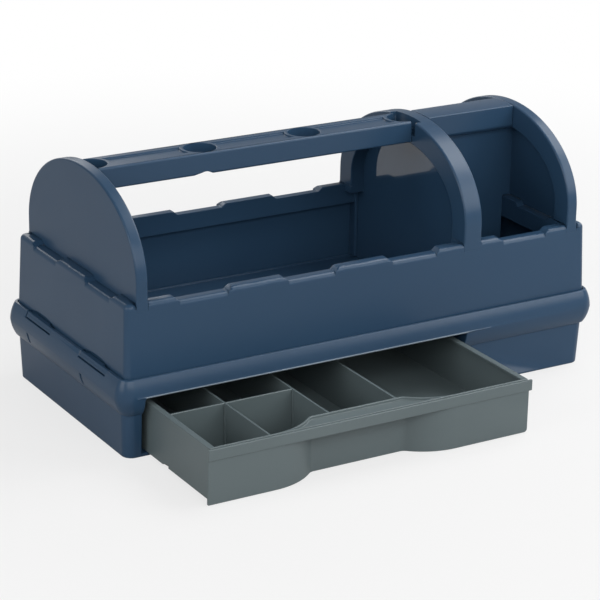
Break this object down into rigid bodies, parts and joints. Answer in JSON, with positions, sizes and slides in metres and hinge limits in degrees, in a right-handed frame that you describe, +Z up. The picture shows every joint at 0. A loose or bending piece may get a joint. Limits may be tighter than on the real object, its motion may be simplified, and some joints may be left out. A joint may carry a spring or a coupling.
{
  "type": "tool storage caddy",
  "caption": "Open-topped plastic tool caddy with arched end panels, a fixed carrying handle, a split deep well and a sliding small-parts drawer in its base.",
  "frame": {"origin": "middle of the bottom face of the housing, on the surface that the caddy stands on", "axes": "+X along the length towards the deep well, -Y towards the drawer side, +Z up"},
  "size_m": [0.472, 0.3257, 0.22],
  "materials": {
    "blue_plastic": "satin moulded dark blue plastic",
    "grey_plastic": "matte moulded grey plastic"
  },
  "bodies": {
    "housing": {"base_housing": "blue_plastic", "tool_tray": "blue_plastic", "tray_floor": "blue_plastic", "left_end_arch": "blue_plastic", "middle_arch": "blue_plastic", "right_end_arch": "blue_plastic", "carry_handle": "blue_plastic", "well_bridge": "blue_plastic", "well_partition": "blue_plastic"},
    "drawer": {"drawer_tub": "grey_plastic", "drawer_front": "grey_plastic", "long_divider": "grey_plastic", "cross_divider_left": "grey_plastic", "cross_divider_middle": "grey_plastic", "cross_divider_right": "grey_plastic"},
    "left_front_clip": {"left_front_clip": "blue_plastic"},
    "left_rear_clip": {"left_rear_clip": "blue_plastic"},
    "right_front_clip": {"right_front_clip": "blue_plastic"},
    "right_rear_clip": {"right_rear_clip": "blue_plastic"}
  },
  "joints": [
    {"name": "drawer_slide", "type": "slide", "parent": "housing", "child": "drawer", "axis": [0, 1, 0], "range_m": [-0.0876, 0.1]},
    {"name": "left_front_clip_flex", "type": "hinge", "parent": "housing", "child": "left_front_clip", "pos_m": [-0.2308, -0.078, 0.068], "axis": [0, 0, 1], "range_deg": [0, 4], "stiffness_Nm_per_rad": 0.02},
    {"name": "left_rear_clip_flex", "type": "hinge", "parent": "housing", "child": "left_rear_clip", "pos_m": [-0.2308, 0.026, 0.068], "axis": [0, 0, 1], "range_deg": [0, 4], "stiffness_Nm_per_rad": 0.02},
    {"name": "right_front_clip_flex", "type": "hinge", "parent": "housing", "child": "right_front_clip", "pos_m": [0.2308, -0.078, 0.068], "axis": [0, 0, -1], "range_deg": [0, 4], "stiffness_Nm_per_rad": 0.02},
    {"name": "right_rear_clip_flex", "type": "hinge", "parent": "housing", "child": "right_rear_clip", "pos_m": [0.2308, 0.026, 0.068], "axis": [0, 0, -1], "range_deg": [0, 4], "stiffness_Nm_per_rad": 0.02}
  ]
}
